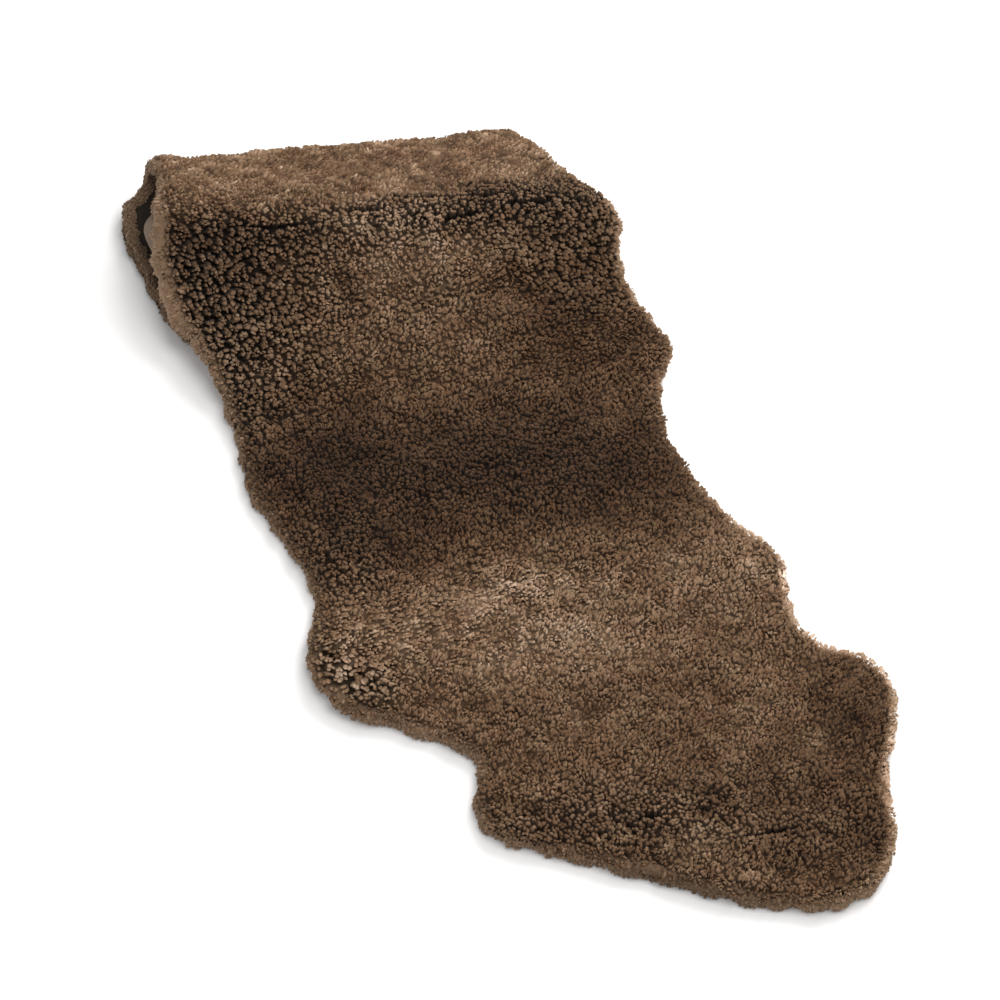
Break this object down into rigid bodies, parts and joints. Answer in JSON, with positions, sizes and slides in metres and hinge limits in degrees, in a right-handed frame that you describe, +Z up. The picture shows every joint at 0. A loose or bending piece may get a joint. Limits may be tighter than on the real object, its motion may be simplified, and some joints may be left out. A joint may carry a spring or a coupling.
{
  "type": "sheepskin rug",
  "caption": "Long sheepskin rug of curly wool with an irregular lobed outline, lying with its far end folded under itself.",
  "frame": {"origin": "centre of the bounding box, on the floor that the rug lies on", "axes": "+X across the rug, +Y along it towards the folded end, +Z up"},
  "size_m": [0.8054, 1.418, 0.1166],
  "materials": {
    "wool": "matte curly wool, taupe brown, with a sandy rim"
  },
  "bodies": {
    "root": {"sheepskin": "wool"}
  },
  "joints": []
}
